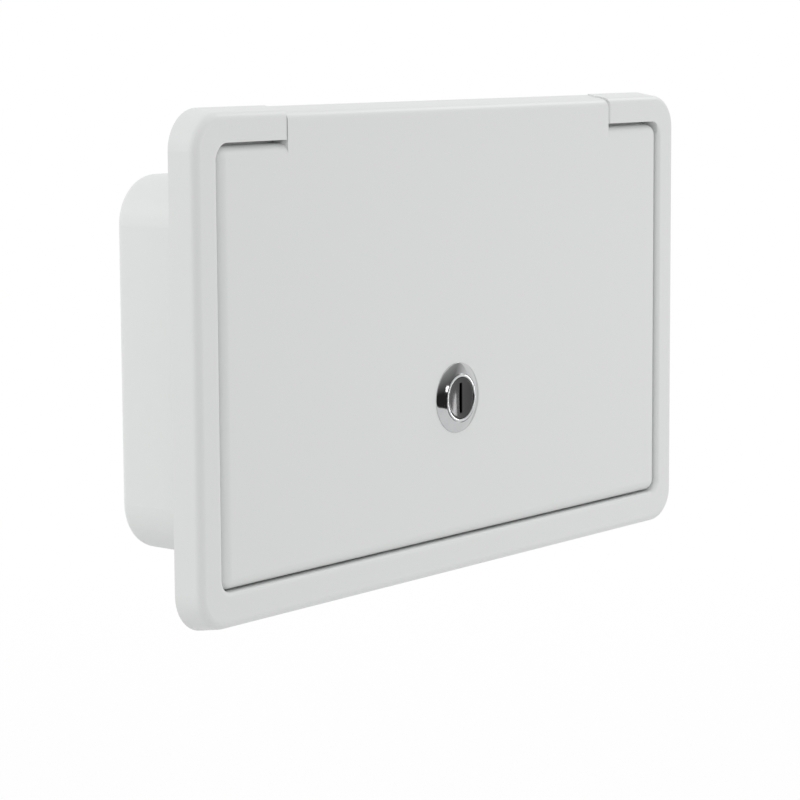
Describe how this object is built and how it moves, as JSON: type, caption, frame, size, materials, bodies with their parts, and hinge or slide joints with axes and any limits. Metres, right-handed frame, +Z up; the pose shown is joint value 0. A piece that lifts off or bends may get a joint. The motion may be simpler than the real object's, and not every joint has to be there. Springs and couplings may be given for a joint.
{
  "type": "rv access hatch",
  "caption": "Recessed wall hatch with a top-hinged lift-up door, a key-operated cam lock and a moulded tub behind its flange.",
  "frame": {"origin": "centre of the flange's back face, which lies on the outside of the vehicle's wall", "axes": "+X to the right seen from outside, +Y into the wall, +Z up"},
  "size_m": [0.2518, 0.0535, 0.1508],
  "materials": {
    "frame_plastic": "satin moulded ABS",
    "tub_plastic": "satin moulded ABS",
    "door_plastic": "satin moulded ABS",
    "seal_rubber": "soft black foam rubber",
    "pin_steel": "drawn",
    "lock_chrome": "polished",
    "plug_metal": "dull",
    "cam_steel": "zinc plated"
  },
  "bodies": {
    "frame": {"frame": "frame_plastic", "tub": "tub_plastic", "seal": "seal_rubber", "hinge_pin_left": "pin_steel", "hinge_pin_right": "pin_steel"},
    "door": {"door": "door_plastic", "lock_housing": "lock_chrome", "lock_nut": "cam_steel"},
    "lock_plug": {"lock_plug": "plug_metal", "cam": "cam_steel", "cam_screw": "cam_steel"}
  },
  "joints": [
    {"name": "door_hinge", "type": "hinge", "parent": "frame", "child": "door", "pos_m": [0, -0.0058, 0.07089], "axis": [-1, 0, 0], "range_deg": [0, 145]},
    {"name": "lock_turn", "type": "hinge", "parent": "door", "child": "lock_plug", "pos_m": [-0.002, 0.0002, -0.0185], "axis": [0, 1, 0], "range_deg": [0, 90]}
  ]
}
